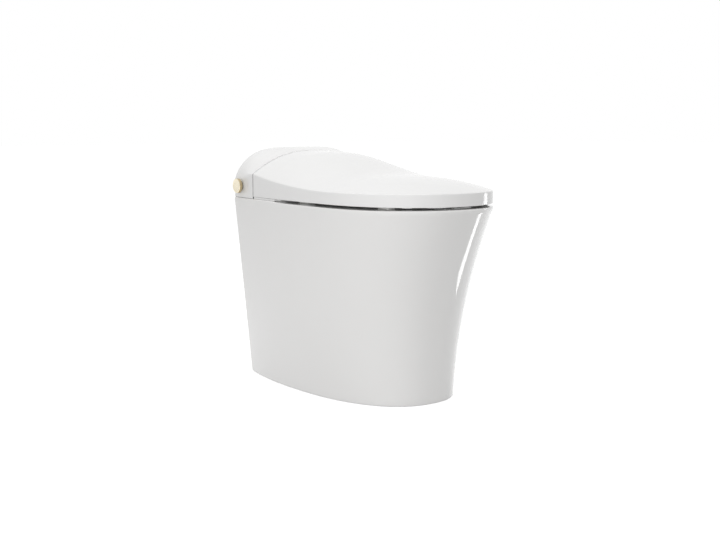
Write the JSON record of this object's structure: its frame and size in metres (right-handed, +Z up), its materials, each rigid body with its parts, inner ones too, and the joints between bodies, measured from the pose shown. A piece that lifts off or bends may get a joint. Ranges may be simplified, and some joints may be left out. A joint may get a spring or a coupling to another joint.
{
  "type": "electric bidet toilet",
  "caption": "One-piece skirted ceramic toilet with a built-in electric bidet seat: arched lid, heated seat, sliding wash wand, dryer and side knob.",
  "frame": {"origin": "on the floor, in the plane of symmetry, 5 mm ahead of the middle of the body's length", "axes": "+Z up, -Y towards the nose of the bowl, +Y towards the wall, the knob is on the -X side"},
  "size_m": [0.392, 0.6715, 0.5617],
  "materials": {
    "ceramic": "glossy white vitreous glaze",
    "shell": "glossy white moulded plastic",
    "inner_shell": "satin off-white moulded plastic",
    "brass": "satin pale gold plating",
    "steel": "plain steel",
    "soft_rubber": "pale soft rubber",
    "dark_rubber": "dark sealing rubber",
    "dark_plastic": "dark moulded plastic",
    "grey_plastic": "grey moulded plastic",
    "board": "green circuit board",
    "heater_foil": "foil with a heating track",
    "dark_window": "dark sensor window",
    "carbon": "cartridge of active carbon"
  },
  "bodies": {
    "root": {"bowl_body": "ceramic", "bowl_basin": "ceramic", "trapway": "ceramic", "base_pan": "shell", "rear_cover": "shell", "unit_housing": "shell", "front_bulkhead": "inner_shell", "hinge_tower": "inner_shell", "wand_guide": "inner_shell", "water_inlet": "steel", "hinge_pin_left": "steel", "hinge_pin_right": "steel", "wand_motor": "steel", "water_heater": "steel", "floor_bracket_left": "steel", "floor_bracket_right": "steel", "floor_screw_left": "steel", "floor_screw_right": "steel", "outlet_seal": "dark_rubber", "flush_pump": "dark_plastic", "cord_gland": "dark_plastic", "damper_left": "dark_plastic", "damper_right": "dark_plastic", "inlet_valve": "dark_plastic", "air_pump": "dark_plastic", "board_case": "dark_plastic", "knob_encoder": "dark_plastic", "flush_tank": "grey_plastic", "dryer_casing": "grey_plastic", "dryer_duct": "grey_plastic", "knob_bezel": "grey_plastic", "control_board": "board", "occupancy_window": "dark_window", "deodoriser": "carbon"},
    "seat": {"seat_lower_shell": "shell", "seat_upper_shell": "shell", "seat_heater": "heater_foil", "seat_bumper_front_left": "soft_rubber", "seat_bumper_front_right": "soft_rubber", "seat_bumper_rear_left": "soft_rubber", "seat_bumper_rear_right": "soft_rubber"},
    "lid": {"lid": "shell", "lid_bumper_front_left": "soft_rubber", "lid_bumper_front_right": "soft_rubber", "lid_bumper_rear_left": "soft_rubber", "lid_bumper_rear_right": "soft_rubber"},
    "wand": {"nozzle_wand": "inner_shell", "nozzle_tip": "shell", "wand_rack": "grey_plastic"},
    "pinion": {"drive_pinion": "grey_plastic"},
    "dryer_flap": {"dryer_flap": "inner_shell"},
    "dryer_wheel": {"dryer_wheel": "dark_plastic"},
    "knob_shaft": {"knob_shaft": "steel"},
    "knob_cap": {"knob_cap": "brass"}
  },
  "joints": [
    {"name": "seat_hinge", "type": "hinge", "parent": "root", "child": "seat", "pos_m": [0, 0.199, 0.537], "axis": [-1, 0, 0], "range_deg": [0, 102]},
    {"name": "lid_hinge", "type": "hinge", "parent": "seat", "child": "lid", "pos_m": [0, 0.199, 0.537], "axis": [1, 0, 0], "range_deg": [-102, 0]},
    {"name": "wand_slide", "type": "slide", "parent": "root", "child": "wand", "axis": [0, -0.9336, -0.3584], "range_m": [0, 0.11]},
    {"name": "pinion_spin", "type": "hinge", "parent": "root", "child": "pinion", "pos_m": [0.008, 0.15864, 0.47708], "axis": [1, 0, 0], "range_deg": [-790, 10]},
    {"name": "dryer_flap_hinge", "type": "hinge", "parent": "root", "child": "dryer_flap", "pos_m": [0.083, 0.116, 0.4635], "axis": [-1, 0, 0], "range_deg": [0, 60]},
    {"name": "dryer_wheel_spin", "type": "hinge", "parent": "root", "child": "dryer_wheel", "pos_m": [0.085, 0.194, 0.472], "axis": [1, 0, 0], "continuous": true},
    {"name": "knob_push", "type": "slide", "parent": "root", "child": "knob_shaft", "axis": [1, 0, 0], "range_m": [0, 0.002], "stiffness_N_per_m": 600, "springref_m": -0.002},
    {"name": "knob_turn", "type": "hinge", "parent": "knob_shaft", "child": "knob_cap", "pos_m": [-0.17, 0.29, 0.469], "axis": [-1, 0, 0], "range_deg": [-60, 60], "stiffness_Nm_per_rad": 0.03}
  ],
  "couplings": [
    {"joint": "pinion_spin", "follows": "wand_slide", "rad_per_m": -125}
  ]
}
